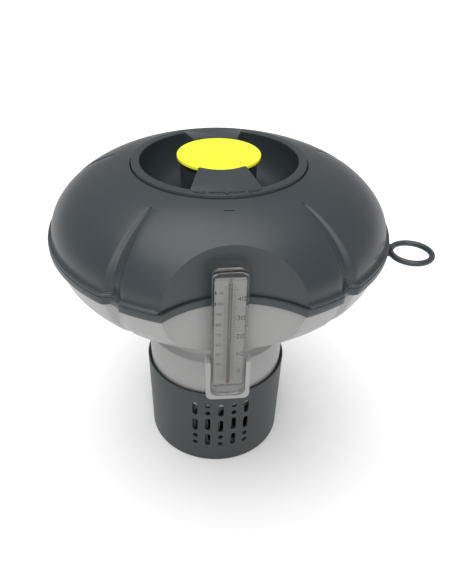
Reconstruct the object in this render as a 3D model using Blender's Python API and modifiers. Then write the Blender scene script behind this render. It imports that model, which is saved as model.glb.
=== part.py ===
"""Floating chlorine dispenser: lobed float, twist lid with a push button, dosing collar, thermometer.

Metres, +Z up. The origin is the centre of the base, the front with the thermometer faces -Y.
Heights are counted from the seam between the lid and the dome, so most of them are negative.
"""
import math

import bmesh
import bpy
from mathutils import Matrix, Vector

MM = 0.001
GAP = 0.3 * MM                  # clearance between neighbouring pieces

# --- driving dimensions -------------------------------------------------------------------
SEAM_Z = 199.6 * MM             # height of that seam above the base
SEAM_R = 50.0 * MM              # radius of the dome's opening
DOME_R = 97.05 * MM             # dome where it stands vertical, above the band
DOME_EDGE_DROP = 33.4 * MM      # from the seam down to that height
DOME_CROWN = 3.0 * MM           # the dome's curve would rise this far above the seam
DOME_POWER_R, DOME_POWER_Z = 3.093, 1.591
BAND_R = 99.7 * MM
BAND_TOP, BAND_BOTTOM = -38.4 * MM, -42.5 * MM
BOWL_R = 98.6 * MM              # bowl's curve: widest radius, its drop, its depth
BOWL_DROP, BOWL_DEPTH = 34.8 * MM, 61.1 * MM
BOWL_POWER_R, BOWL_POWER_Z = 1.872, 2.254
WALL = 2.2 * MM
GROOVES = (-37.0, 37.0, -108.5, 108.5, 180.0)      # degrees from the front
GROOVE_DEPTH = 3.0 * MM
GROOVE_TIP_R, GROOVE_TIP_DEPTH = 62.5 * MM, 0.9 * MM
GROOVE_FADE = 40 * MM           # height over which a groove fades out down the bowl
GROOVE_SECTION = (              # degrees off a groove's middle, share of its depth
    (-3.0, 0.05), (-1.8, 0.95), (2.3, 0.5), (3.5, 0.0))
NARROWEST = 0.05                # a groove's width at its tip, as a share of its full width
SCOOP_R = 52.6 * MM             # upright cylinder that hollows the front
SCOOP_Y = -130.4 * MM
NECK_R, NECK_FOOT_R, NECK_BORE = 44.4 * MM, 43.9 * MM, 41.2 * MM
NECK_WAIST_R, THROAT_BORE = 40.9 * MM, 39.4 * MM
NECK_TOP, NECK_BOTTOM = -90.5 * MM, -150.0 * MM
COLLAR_TOP_R, COLLAR_FOOT_R, COLLAR_H = 46.2 * MM, 45.0 * MM, 62.4 * MM
COLLAR_WALL = 1.5 * MM
BASKET_R = 43.2 * MM
BOWL_TOP, BOWL_FLOOR = -40.2 * MM, -88.0 * MM
LUG_ANGLES, LID_TURN = (0.0, 120.0, 240.0), 40.0   # bayonet lugs, and the turn that locks them
SCREWS = [(x * MM, y * MM) for x in (-7, 7) for y in (-32, 32)]
BUTTON_R = 23.6 * MM
HUB_BORE = 19.9 * MM
BRIDGE_NEAR, BRIDGE_FAR = (21.0, 12.7, 4.8), (46.0, 19.1, 1.6)     # mm: distance out, half width, top
CASE_W, CASE_D = 17.6 * MM, 5.0 * MM               # thermometer case
CASE_X, CASE_Y = -1.4 * MM, -83.5 * MM
CASE_BOTTOM, CASE_TOP = -97.8 * MM, -20.3 * MM
FOOT_H, HEAD_H = 5.0 * MM, 3.0 * MM                # heights of the case's two end pieces
BRACKET_W, BRACKET_BOTTOM, BRACKET_TOP = 23.2 * MM, -100.3 * MM, -74.6 * MM
BRACKET_FRONT, BRACKET_BACK = -86.6 * MM, -79.05 * MM
TONGUE_W, TONGUE_TOP = 17.0 * MM, -55.0 * MM       # plate behind the case, up to the bowl's wall
RING_AZ = 72.0                  # tether ring, degrees from the front
RING_R, RING_WIRE, RING_CENTRE, RING_DROP = 11.3 * MM, 1.65 * MM, 112.5 * MM, -44.4 * MM
LUG_SIZE = (3.2 * MM, 4.0 * MM, 6.5 * MM)          # band's lug that holds the ring
LUG_R, LUG_DROP = 100.1 * MM, -44.25 * MM
SLOT_PITCH = 10.7               # degrees between columns of slots
SLOT_W, BASKET_SLOT_W = 3.5 * MM, 4.2 * MM
BASKET_OFFSET = 2.4             # degrees from the collar's columns to the basket's
SEGMENTS = 40

for old in list(bpy.data.objects):
    bpy.data.objects.remove(old, do_unlink=True)
PARTS = bpy.data.collections.new("floating_chlorine_dispenser")
CUTTERS = bpy.data.collections.new("cutters")
bpy.context.scene.collection.children.link(PARTS)
bpy.context.scene.collection.children.link(CUTTERS)


# --- materials ----------------------------------------------------------------------------
def material(name, colour, roughness=0.45, metallic=0.0, transmission=0.0):
    mat = bpy.data.materials.new(name)
    mat.use_nodes = True
    shader = mat.node_tree.nodes["Principled BSDF"]
    shader.inputs["Base Color"].default_value = (*colour, 1.0)
    shader.inputs["Roughness"].default_value = roughness
    shader.inputs["Metallic"].default_value = metallic
    shader.inputs["Transmission Weight"].default_value = transmission
    return mat


ANTHRACITE = (0.075, 0.092, 0.11)
GREY = (0.42, 0.42, 0.42)
YELLOW = (1.0, 0.95, 0.06)
RUBBER = (0.02, 0.02, 0.02)
STEEL = (0.6, 0.6, 0.6)
CLEAR = (0.9, 0.93, 0.93)


# --- shapes -------------------------------------------------------------------------------
def polar(radius, degrees, height=0.0):
    """Point at a radius and an angle from the front, counted towards +X."""
    a = math.radians(degrees)
    return Vector((radius * math.sin(a), -radius * math.cos(a), height))


def add_object(name, data):
    obj = bpy.data.objects.new(name, data)
    PARTS.objects.link(obj)
    return obj


def mesh_from(bm, name):
    """Mesh with its faces pointing out; frees the bmesh."""
    bmesh.ops.recalc_face_normals(bm, faces=bm.faces)
    mesh = bpy.data.meshes.new(name)
    bm.to_mesh(mesh)
    bm.free()
    return mesh


def finish(obj, name, colour, roughness=0.45, metallic=0.0, transmission=0.0):
    """Name a part, shade it and give it a material of its own."""
    obj.name = name
    obj.data.name = name
    obj.data.materials.clear()
    obj.data.materials.append(material(name, colour, roughness, metallic, transmission))
    obj.data.shade_smooth()
    obj.data.set_sharp_from_angle(angle=math.radians(35))
    return obj


def bake_modifiers(obj):
    """Turn an object and its modifiers into one plain mesh object in the parts collection."""
    bpy.context.view_layer.update()
    graph = bpy.context.evaluated_depsgraph_get()
    mesh = bpy.data.meshes.new_from_object(obj.evaluated_get(graph))
    mesh.transform(obj.matrix_world)
    baked = add_object(obj.name, mesh)
    bpy.data.objects.remove(obj, do_unlink=True)
    return baked


def tidy(mesh, merge=0.000005):
    """Merge doubled vertices and point the faces outwards."""
    bm = bmesh.new()
    bm.from_mesh(mesh)
    bmesh.ops.remove_doubles(bm, verts=bm.verts, dist=merge)
    bmesh.ops.dissolve_degenerate(bm, edges=bm.edges, dist=merge)
    bmesh.ops.recalc_face_normals(bm, faces=bm.faces)
    bm.to_mesh(mesh)
    bm.free()


def boolean(obj, other, operation="DIFFERENCE"):
    """Combine two meshes and keep the result as a plain mesh; the cutter is removed."""
    PARTS.objects.unlink(other)
    CUTTERS.objects.link(other)
    other.hide_render = True
    other.display_type = "WIRE"
    modifier = obj.modifiers.new(operation.title(), "BOOLEAN")
    modifier.operation = operation
    modifier.solver = "EXACT"
    modifier.object = other
    result = bake_modifiers(obj)
    bpy.data.objects.remove(other, do_unlink=True)
    tidy(result.data)
    return result


def turned(name, profile, segments=SEGMENTS, centre=(0.0, 0.0)):
    """Solid of revolution; the profile is a closed outline in mm, heights from the lid seam."""
    bm = bmesh.new()
    points = [bm.verts.new((r * MM, 0.0, z * MM)) for r, z in profile]
    for a, b in zip(points, points[1:] + points[:1]):
        if a.co.x > 0 or b.co.x > 0:
            bm.edges.new((a, b))
    mesh = bpy.data.meshes.new(name)
    bm.to_mesh(mesh)
    bm.free()
    obj = add_object(name, mesh)
    obj.location = (centre[0], centre[1], SEAM_Z)
    screw = obj.modifiers.new("Turn", "SCREW")
    screw.steps = segments
    screw.render_steps = segments
    screw.use_merge_vertices = True
    screw.merge_threshold = 0.00001
    screw.use_normal_calculate = True
    bpy.context.view_layer.update()
    baked = bake_modifiers(obj)
    tidy(baked.data)
    return baked


def rod(name, radius, bottom, top, segments=SEGMENTS, centre=(0.0, 0.0)):
    """Upright cylinder between two heights from the lid seam, all in metres."""
    bm = bmesh.new()
    bmesh.ops.create_cone(bm, cap_ends=True, segments=segments, radius1=radius, radius2=radius,
                          depth=top - bottom)
    bm.transform(Matrix.Translation((centre[0], centre[1], SEAM_Z + (bottom + top) / 2)))
    return add_object(name, mesh_from(bm, name))


def block(name, size, centre, degrees=0.0):
    """Box with its centre above the seam by centre[2], turned about the main axis."""
    bm = bmesh.new()
    bmesh.ops.create_cube(bm, size=1.0)
    bm.transform(Matrix.Diagonal((*size, 1.0)))
    turn = Matrix.Rotation(math.radians(degrees), 4, "Z")
    bm.transform(turn @ Matrix.Translation(centre))
    bm.transform(Matrix.Translation((0.0, 0.0, SEAM_Z)))
    return add_object(name, mesh_from(bm, name))


def prism(name, outline, bottom, top):
    """Upright prism over a flat outline, made from a filled 2D curve."""
    curve = bpy.data.curves.new(name, "CURVE")
    curve.dimensions = "2D"
    curve.fill_mode = "BOTH"
    curve.extrude = (top - bottom) / 2
    spline = curve.splines.new("POLY")
    spline.points.add(len(outline) - 1)
    for point, (x, y) in zip(spline.points, outline):
        point.co = (x, y, 0.0, 1.0)
    spline.use_cyclic_u = True
    obj = add_object(name, curve)
    obj.location.z = SEAM_Z + (bottom + top) / 2
    baked = bake_modifiers(obj)
    tidy(baked.data)
    return baked


def front_prism(name, outline, front, back):
    """Prism over an outline of (x, height) seen from the front, between two distances along Y."""
    obj = prism(name, outline, -back, -front)
    obj.data.transform(Matrix.Translation((0, 0, -SEAM_Z)))
    obj.data.transform(Matrix.Rotation(math.radians(90), 4, "X"))
    obj.data.transform(Matrix.Translation((0, 0, SEAM_Z)))
    return obj


def rounded_box(width, depth, radius, steps=3):
    """Outline of a rectangle with rounded corners about the origin."""
    points = []
    for corner, (sx, sy) in enumerate(((1, 1), (-1, 1), (-1, -1), (1, -1))):
        for i in range(steps + 1):
            a = math.radians(90 * (corner + i / steps))
            x = sx * (width / 2 - radius) + radius * math.cos(a)
            y = sy * (depth / 2 - radius) + radius * math.sin(a)
            points.append((x, y))
    return points


def cup_outline(middle, width, bottom, top, radius, steps=4):
    """Outline seen from the front: flat on top, with rounded corners at the bottom."""
    half = width / 2
    outline = [(middle - half, top), (middle + half, top)]
    for side, start in ((1, 0.0), (-1, 90.0)):
        for i in range(steps + 1):
            a = math.radians(start + side * 90.0 * i / steps)
            outline.append((middle + side * (half - radius + radius * math.cos(a)),
                            bottom + radius - radius * math.sin(a)))
    return outline


# --- lobed float --------------------------------------------------------------------------
def groove_shape(radius, height):
    """Depth of a groove and its share of the full width: narrow at its tip, fading on the bowl."""
    if height < BAND_TOP:
        fade = 1 - (BAND_BOTTOM - height) / GROOVE_FADE
        return GROOVE_DEPTH * min(1.0, max(0.0, fade)), 1.0
    share = (radius - GROOVE_TIP_R) / (DOME_R - GROOVE_TIP_R)
    if share <= 0:
        return 0.0, NARROWEST
    share = min(1.0, share)
    depth = GROOVE_TIP_DEPTH + (GROOVE_DEPTH - GROOVE_TIP_DEPTH) * share
    return depth, max(NARROWEST, share ** 0.55)


def ring_angles():
    """Angles round the float: evenly spaced on each lobe, with four at every groove.

    Each entry is (angle, distance from the groove's middle, share of the groove's depth).
    """
    lobes = []
    grooves = sorted(GROOVES)
    for i, angle in enumerate(grooves):
        away = 1.0 if angle > 0 else -1.0
        marks = sorted((offset * away, press) for offset, press in GROOVE_SECTION)
        lobes += [(angle, offset, press) for offset, press in marks]
        following = grooves[(i + 1) % len(grooves)] + (360 if i == len(grooves) - 1 else 0)
        count = round((following - angle) / 9.0)
        for k in range(1, count):
            lobes.append((angle + (following - angle) * k / count, 0.0, 0.0))
    return lobes


RING_ANGLES = ring_angles()


def lobed(name, loop):
    """Closed ring lofted round the axis; loop holds (radius, height, groove depth, narrowing)."""
    bm = bmesh.new()
    columns = []
    for angle, offset, press in RING_ANGLES:
        column = []
        for radius, height, depth, width in loop:
            at = polar(radius - press * depth, angle + offset * width, SEAM_Z + height)
            column.append(bm.verts.new(at))
        columns.append(column)
    count = len(loop)
    for a, b in zip(columns, columns[1:] + columns[:1]):
        for i in range(count):
            j = (i + 1) % count
            bm.faces.new((a[i], b[i], b[j], a[j]))
    return add_object(name, mesh_from(bm, name))


def dome_point(turn, inset=0.0):
    """Point of the dome's curve, 0 at the edge and 1 at the crown, moved in by inset."""
    a = turn * math.pi / 2
    rise = DOME_EDGE_DROP + DOME_CROWN
    radius = (DOME_R - inset) * math.cos(a) ** (2 / DOME_POWER_R)
    height = -DOME_EDGE_DROP + (rise - inset) * math.sin(a) ** (2 / DOME_POWER_Z)
    return radius, height


def bowl_point(turn, inset=0.0):
    """Point of the bowl's curve, 0 at its widest and 1 at the lowest, moved in by inset."""
    a = turn * math.pi / 2
    radius = (BOWL_R - inset) * math.cos(a) ** (2 / BOWL_POWER_R)
    height = -BOWL_DROP - (BOWL_DEPTH - inset) * math.sin(a) ** (2 / BOWL_POWER_Z)
    return radius, height


def with_groove(points):
    """Add the groove's depth and its narrowing towards the tip to plain profile points."""
    return [(radius, height, *groove_shape(radius, height)) for radius, height in points]


def plain(points):
    """Profile points that the grooves leave alone."""
    return [(radius, height, 0.0, NARROWEST) for radius, height in points]


def scoop(radius):
    """Cutter that hollows the float's front."""
    return rod("scoop", radius, -130 * MM, 20 * MM, 64, (0.0, SCOOP_Y))


def scooped_ring(name, outer, inner, bottom, top, proud=0.0, wall=WALL):
    """Flat ring that follows the lobes and runs round the back of the scoop."""
    low, high = bottom - 5 * MM, top + 5 * MM
    core = 44 * MM
    width = 1.0
    shell = lobed(name, [(outer, top, GROOVE_DEPTH, width), (outer, bottom, GROOVE_DEPTH, width),
                         (core, bottom, 0, width), (core, top, 0, width)])
    shell = boolean(shell, scoop(SCOOP_R - proud))
    hollow = lobed("hollow", [(inner, high, GROOVE_DEPTH, width), (inner, low, GROOVE_DEPTH, width),
                              (core - 5 * MM, low, 0, width), (core - 5 * MM, high, 0, width)])
    hollow = boolean(hollow, scoop(SCOOP_R - proud + wall))
    return boolean(shell, hollow)


def make_upper_shell():
    """Dome with its flange, the opening for the lid and the ledge that carries the chamber."""
    flange_bottom = BAND_TOP + GAP
    curve = [dome_point(t) for t in (0.0, 0.14, 0.28, 0.42, 0.54, 0.65, 0.74)]
    lip = [(DOME_R + 1.9 * MM, -36.8 * MM), (DOME_R + 0.3 * MM, -35.6 * MM)]
    outer = with_groove([(DOME_R + 1.9 * MM, flange_bottom)] + lip + curve)
    hole = plain([(SEAM_R, 0.0), (SEAM_R, -9.3 * MM), (47.5 * MM, -9.3 * MM), (47.5 * MM, flange_bottom)])
    shell = boolean(lobed("upper_shell", outer + hole), scoop(SCOOP_R))
    under = [dome_point(t, WALL) for t in (0.0, 0.18, 0.36, 0.52, 0.64, 0.72)]
    cavity = with_groove([(DOME_R - WALL, -60 * MM)] + under)
    skirt = plain([(52.4 * MM, -3.5 * MM), (52.4 * MM, -14 * MM), (40 * MM, -14 * MM), (40 * MM, -60 * MM)])
    hollow = boolean(lobed("hollow", cavity + skirt), scoop(SCOOP_R + WALL))
    return finish(boolean(shell, hollow), "upper_shell", ANTHRACITE, 0.4)


def make_rim_band():
    """Band over the seam between the shells, with the lug for the tether ring."""
    band = scooped_ring("rim_band", BAND_R, 96.4 * MM, BAND_BOTTOM, BAND_TOP, 1.8 * MM, 1.5 * MM)
    lug = block("lug", LUG_SIZE, (0.0, -LUG_R, LUG_DROP), RING_AZ)
    return finish(boolean(band, lug, "UNION"), "rim_band", ANTHRACITE, 0.45)


def make_lower_shell():
    """Bowl under the dome, with a hole in its floor over the neck."""
    turns = [0.2, 0.36, 0.52, 0.66, 0.78]
    outer = [(96.0 * MM, BOWL_TOP), (96.0 * MM, BAND_BOTTOM - GAP), (97.4 * MM, BAND_BOTTOM - GAP)]
    outer += [bowl_point(t) for t in turns]
    hole = plain([(43.0 * MM, NECK_TOP), (THROAT_BORE, NECK_TOP), (THROAT_BORE, BOWL_TOP)])
    shell = boolean(lobed("lower_shell", with_groove(outer) + hole), scoop(SCOOP_R))
    inside = [bowl_point(t, WALL) for t in (0.7, 0.52, 0.36, 0.2)]
    rim = [(93.8 * MM, BAND_BOTTOM - 1 * MM), (93.8 * MM, -20 * MM)]
    well = [(35 * MM, -20 * MM), (35 * MM, BOWL_FLOOR)]
    cavity = plain([(44 * MM, BOWL_FLOOR)]) + with_groove(inside + rim) + plain(well)
    shell = boolean(shell, boolean(lobed("hollow", cavity), scoop(SCOOP_R + WALL)))
    return finish(shell, "lower_shell", GREY, 0.4)


def make_neck():
    """Tube under the bowl: a narrow throat that flares out round the top of the basket."""
    top, bottom = (NECK_TOP - GAP) / MM, NECK_BOTTOM / MM
    waist, shoulder, foot = NECK_WAIST_R / MM, NECK_R / MM, NECK_FOOT_R / MM
    throat, bore = THROAT_BORE / MM, NECK_BORE / MM
    neck = turned("neck_tube", [
        (42.6, top), (waist, -94.0), (waist, -109.5), (shoulder, -113.0), (foot, bottom),
        (bore, bottom), (bore, -112.0), (throat, -112.0), (throat, top)])
    return finish(neck, "neck_tube", GREY, 0.4)


# --- chamber, basket and collar ---------------------------------------------------------------
def arc_prism(name, inner, outer, bottom, top, first, last, steps=4):
    """Upright prism over the piece of a ring between two angles from the front."""
    angles = [first + (last - first) * i / steps for i in range(steps + 1)]
    outline = [polar(outer, a)[:2] for a in angles] + [polar(inner, a)[:2] for a in reversed(angles)]
    return prism(name, outline, bottom, top)


def make_tablet_chamber():
    """Tube from the lid to the neck, wider at its mouth, with three ledges for the lid's lugs."""
    foot = BOWL_FLOOR / MM + 2.1
    tube = turned("tablet_chamber", [
        (49.6, -7.0), (49.6, -9.0), (47.1, -9.0), (47.1, -30.5), (41.2, -38.0), (41.2, foot),
        (39.6, foot), (39.6, -37.0), (45.6, -29.8), (45.6, -7.0)])
    for k in range(3):
        middle = LUG_ANGLES[k] - LID_TURN
        ledge = arc_prism("ledge", 43.6 * MM, 46.4 * MM, -21.5 * MM, -19.5 * MM,
                          middle - 16.0, middle + 16.0)
        tube = boolean(tube, ledge, "UNION")
    return finish(tube, "tablet_chamber", GREY, 0.5)


def slot_cutter(degrees, radius, height, width, tall):
    """Upright slot through a wall at that radius."""
    return block("slot", (width, 8 * MM, tall), (0.0, -radius, height), degrees)


def make_collar():
    """Turning sleeve; the columns of slots and dots alternate, in a group at the front and back."""
    low, high = -SEAM_Z / MM, (COLLAR_H - SEAM_Z) / MM
    top, foot, wall = COLLAR_TOP_R / MM, COLLAR_FOOT_R / MM, COLLAR_WALL / MM
    collar = turned("dosing_collar", [
        (top, high - 0.4), (foot, low + 0.8), (foot - 0.8, low), (foot - wall, low), (top - wall, high),
        (top - 0.4, high)])
    long_slot, dot = 11.0, 3.6
    even_rows = [(-151.7, long_slot), (-166.5, long_slot), (-177.0, dot), (-183.5, dot)]
    odd_rows = [(-148.0, dot), (-154.5, dot), (-164.9, long_slot), (-179.7, long_slot)]
    for group in (0.0, 180.0):
        for column in range(-2, 3):
            for height, tall in (odd_rows if column % 2 else even_rows):
                azimuth = group + column * SLOT_PITCH
                slot = slot_cutter(azimuth, COLLAR_FOOT_R, height * MM, SLOT_W, tall * MM)
                collar = boolean(collar, slot)
    return finish(collar, "dosing_collar", ANTHRACITE, 0.5)


def make_basket():
    """Slotted wall inside the collar; its upper lap stands inside the neck."""
    outer, top, foot = BASKET_R / MM, NECK_BOTTOM / MM - 0.3, -194.6
    basket = turned("slotted_basket", [
        (outer, top), (outer, foot), (41.2, foot), (41.2, -152.0), (39.4, top), (39.4, -142.0),
        (40.9, -142.0), (40.9, top)])
    for group in (0.0, 180.0):
        for column in range(-2, 3):
            azimuth = group + column * SLOT_PITCH + BASKET_OFFSET
            slot = slot_cutter(azimuth, BASKET_R, -168.5 * MM, BASKET_SLOT_W, 30 * MM)
            basket = boolean(basket, slot)
    return finish(basket, "slotted_basket", ANTHRACITE, 0.5)


def make_base_cap():
    """Floor of the basket, with six drain slots round a plain middle."""
    low = -SEAM_Z / MM
    cap = turned("base_cap", [
        (43.2, low), (0.0, low), (0.0, low + 2.2), (39.4, low + 2.2), (39.4, low + 7.6),
        (40.9, low + 7.6), (40.9, low + 4.7), (43.2, low + 4.7)])
    for k in range(6):
        size = (5 * MM, 20 * MM, 10 * MM)
        slot = block("slot", size, (0.0, -27 * MM, -SEAM_Z), 60.0 * k + 30.0)
        cap = boolean(cap, slot)
    return finish(cap, "base_cap", ANTHRACITE, 0.5)


def make_seals():
    """Gaskets under the lid, at the foot of the chamber and between the shells."""
    lid_seal = turned("lid_seal", [(49.3, -5.4), (49.3, -6.7), (46.9, -6.7), (46.9, -5.4)], 32)
    finish(lid_seal, "lid_seal", RUBBER, 0.7)
    floor = BOWL_FLOOR / MM
    chamber_seal = turned("chamber_seal", [
        (41.2, floor + 1.8), (41.2, floor + 0.3), (39.7, floor + 0.3), (39.7, floor + 1.8)], 32)
    finish(chamber_seal, "chamber_seal", RUBBER, 0.7)
    shell_seal = scooped_ring(
        "shell_seal", 95.9 * MM, 94.2 * MM, BOWL_TOP + GAP, BAND_TOP, -0.6 * MM, 1.4 * MM)
    finish(shell_seal, "shell_seal", RUBBER, 0.7)


# --- lid ----------------------------------------------------------------------------------------
def make_lid_body():
    """Ring, two finger wells and the hub, crossed front to back by a bow-tie bridge."""
    ring = [(49.4, -5.1), (49.4, 1.25), (49.0, 1.65), (44.7, 1.65)]
    well = [(44.3, -2.5), (43.0, -7.5), (40.4, -12.5), (36.5, -17.0), (31.5, -20.0), (21.7, -20.3)]
    hub = [(21.7, -0.6), (19.5, -0.6), (19.5, -21.8)]
    under = [(31.8, -21.8), (37.6, -18.6), (41.7, -13.6), (44.4, -8.4), (45.2, -6.4), (46.6, -5.1)]
    lid = turned("lid_body", ring + well + hub + under)
    for side in (0.0, 180.0):
        bridge = block("bridge", (1.0, 1.0, 1.0), (0.0, 0.0, 0.0))
        for vertex in bridge.data.vertices:
            distance, half, top = BRIDGE_FAR if vertex.co.y < 0 else BRIDGE_NEAR
            height = top if vertex.co.z > SEAM_Z else -21.0
            vertex.co = (math.copysign(half * MM, vertex.co.x), -distance * MM, SEAM_Z + height * MM)
        bridge.data.transform(Matrix.Rotation(math.radians(side), 4, "Z"))
        envelope = turned("envelope", [
            (0.0, -21.5), (31.6, -21.5), (37.3, -18.2), (41.3, -13.2), (44.0, -8.0), (46.9, -4.6),
            (46.9, 8.0), (0.0, 8.0)])
        bridge = boolean(bridge, envelope, "INTERSECT")
        lid = boolean(lid, bridge, "UNION")
    lid = boolean(lid, rod("recess", BUTTON_R + GAP, -0.55 * MM, 9 * MM))
    lid = boolean(lid, rod("bore", HUB_BORE, -30 * MM, 9 * MM))
    for x, y in SCREWS:
        lid = boolean(lid, rod("screw_hole", 1.7 * MM, -30 * MM, -9 * MM, 12, (x, y)))
    return finish(lid, "lid_body", ANTHRACITE, 0.45)


def make_lid_underplate():
    """Plate under the lid with three lugs and a boss that centres the spring."""
    plate = turned("lid_underplate", [
        (38.0, -22.1), (38.0, -24.0), (0.0, -24.0), (0.0, -17.0), (5.8, -17.0), (5.8, -22.1)])
    for angle in LUG_ANGLES:
        lug = block("lug", (15 * MM, 10 * MM, 1.9 * MM), (0.0, -39.3 * MM, -23.05 * MM), angle)
        plate = boolean(plate, lug, "UNION")
    for x, y in SCREWS:
        plate = boolean(plate, rod("screw_hole", 1.7 * MM, -30 * MM, -15 * MM, 12, (x, y)))
    finish(plate, "lid_underplate", ANTHRACITE, 0.5)


def make_lid_screws():
    """Self-tapping screws from below, through the underplate into the lid."""
    for number, place in enumerate(SCREWS, 1):
        screw = turned(f"lid_screw_{number}", [
            (0.0, -11.0), (0.9, -11.0), (1.4, -12.5), (1.4, -24.3), (3.2, -24.3), (3.2, -25.3),
            (2.2, -25.9), (0.0, -25.9)], 12, place)
        finish(screw, f"lid_screw_{number}", STEEL, 0.3, 1.0)


def make_button():
    """Round button cap on a plunger that slides in the hub."""
    edge = BUTTON_R / MM
    cap = turned("button_cap", [(0.0, 4.3), (edge - 0.4, 4.3), (edge, 3.9), (edge, 2.3), (0.0, 2.3)], 64)
    finish(cap, "button_cap", YELLOW, 0.4)
    plunger = turned("button_plunger", [
        (0.0, 2.0), (19.6, 2.0), (19.6, -11.0), (17.8, -11.0), (17.8, -0.3), (0.0, -0.3)])
    finish(plunger, "button_plunger", ANTHRACITE, 0.5)


def make_button_spring():
    """Compression spring between the underplate and the plunger, with its ends laid flat."""
    turns, per_turn = 4, 10
    low, high = -21.0 * MM, -1.4 * MM
    curve = bpy.data.curves.new("button_spring", "CURVE")
    curve.dimensions = "3D"
    curve.bevel_depth = 0.7 * MM
    curve.bevel_resolution = 2
    curve.use_fill_caps = True
    spline = curve.splines.new("POLY")
    count = turns * per_turn + 1
    spline.points.add(count - 1)
    for i, point in enumerate(spline.points):
        turn = i / per_turn
        share = min(1.0, max(0.0, (turn - 0.6) / (turns - 1.2)))
        at = polar(8.0 * MM, 360 * turn, SEAM_Z + low + (high - low) * share)
        point.co = (*at, 1.0)
    spring = bake_modifiers(add_object("button_spring", curve))
    tidy(spring.data)
    return finish(spring, "button_spring", STEEL, 0.3, 1.0)


# --- thermometer and tether -----------------------------------------------------------------
def at_case(outline):
    """Plan outline moved to the thermometer case's axis."""
    return [(x + CASE_X, y + CASE_Y) for x, y in outline]


def make_case_ends():
    """Foot with rounded corners and head with sloping shoulders, each with a plug into the case."""
    back, front = CASE_Y + CASE_D / 2, CASE_Y - CASE_D / 2
    half, shoulder, slope = CASE_W / 2, 3.6 * MM, 2.2 * MM
    plug = at_case(rounded_box(CASE_W - 3.0 * MM, CASE_D - 2.4 * MM, 0.8 * MM))
    foot_top, head_bottom = CASE_BOTTOM + FOOT_H, CASE_TOP - HEAD_H
    foot = front_prism("thermometer_bottom_plug",
                       cup_outline(CASE_X, CASE_W, CASE_BOTTOM, foot_top, 4.0 * MM), front, back)
    foot = boolean(foot, prism("plug", plug, foot_top - 1 * MM, foot_top + 2.0 * MM), "UNION")
    finish(foot, "thermometer_bottom_plug", CLEAR, 0.15, 0.0, 0.8)
    outline = [(CASE_X - half, head_bottom), (CASE_X + half, head_bottom),
               (CASE_X + half, CASE_TOP - slope), (CASE_X + half - shoulder, CASE_TOP),
               (CASE_X - half + shoulder, CASE_TOP), (CASE_X - half, CASE_TOP - slope)]
    head = front_prism("thermometer_top_plug", outline, front, back)
    head = boolean(head, prism("plug", plug, head_bottom - 2.0 * MM, head_bottom + 0.5 * MM), "UNION")
    finish(head, "thermometer_top_plug", CLEAR, 0.15, 0.0, 0.8)


def make_thermometer():
    """Clear case with a scale card, and a glass capillary in front of the card."""
    bottom, top = CASE_BOTTOM + FOOT_H + GAP, CASE_TOP - HEAD_H - GAP
    outside = at_case(rounded_box(CASE_W, CASE_D, 1.3 * MM))
    inside = at_case(rounded_box(CASE_W - 2.4 * MM, CASE_D - 1.8 * MM, 0.8 * MM))
    case = prism("thermometer_tube", outside, bottom, top)
    case = boolean(case, prism("hollow", inside, bottom - 5 * MM, top + 5 * MM))
    finish(case, "thermometer_tube", CLEAR, 0.1, 0.0, 0.9)
    low, high = bottom / MM + 2.1, top / MM - 2.1
    card = block("scale_card", (14.2 * MM, 0.6 * MM, (high - low) * MM),
                 (CASE_X, CASE_Y + 1.2 * MM, (low + high) / 2 * MM))
    finish(card, "scale_card", (0.7, 0.7, 0.68), 0.6)
    axis = (CASE_X, CASE_Y - 0.35 * MM)
    capillary = turned("capillary", [
        (1.0, low + 3.0), (1.0, high), (0.0, high), (0.0, high - 1.0), (0.55, high - 1.0),
        (0.55, low + 3.0)], 12, axis)
    finish(capillary, "capillary", CLEAR, 0.05, 0.0, 0.9)
    liquid = turned("liquid_column", [
        (0.0, low), (1.0, low + 0.5), (1.0, low + 2.4), (0.35, low + 3.2), (0.35, low + 30.0),
        (0.0, low + 30.0)], 12, axis)
    finish(liquid, "liquid_column", (0.6, 0.03, 0.03), 0.2)


def make_bracket():
    """Open-fronted holster for the case's lower end, on a tongue that runs up the bowl's wall."""
    middle, half, tongue = CASE_X, BRACKET_W / 2, TONGUE_W / 2
    outline = [(middle - half, BRACKET_TOP), (middle - tongue, BRACKET_TOP),
               (middle - tongue, TONGUE_TOP), (middle + tongue, TONGUE_TOP),
               (middle + tongue, BRACKET_TOP), (middle + half, BRACKET_TOP)]
    outline += cup_outline(middle, BRACKET_W, BRACKET_BOTTOM, BRACKET_TOP, 3.6 * MM)[2:]
    bracket = front_prism("thermometer_bracket", outline, BRACKET_FRONT, BRACKET_BACK)
    pocket = cup_outline(middle, CASE_W + 2 * GAP, CASE_BOTTOM - GAP, TONGUE_TOP + 5 * MM, 4.3 * MM)
    back = CASE_Y + CASE_D / 2 + GAP
    bracket = boolean(bracket, front_prism("pocket", pocket, BRACKET_FRONT - 5 * MM, back))
    return finish(bracket, "thermometer_bracket", GREY, 0.4)


def make_tether_ring():
    """Horizontal ring whose ends butt against the band's lug."""
    centre = polar(RING_CENTRE, RING_AZ, SEAM_Z + RING_DROP)
    bpy.ops.mesh.primitive_torus_add(major_segments=28, minor_segments=8, major_radius=RING_R,
                                     minor_radius=RING_WIRE, location=centre)
    torus = bpy.context.object
    torus.name = "tether_ring"
    for collection in list(torus.users_collection):
        collection.objects.unlink(torus)
    PARTS.objects.link(torus)
    torus = bake_modifiers(torus)
    gap = block("gap", (LUG_SIZE[0] + 2 * GAP, 8 * MM, 12 * MM), (0.0, -LUG_R, RING_DROP), RING_AZ)
    return finish(boolean(torus, gap), "tether_ring", ANTHRACITE, 0.45)


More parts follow.
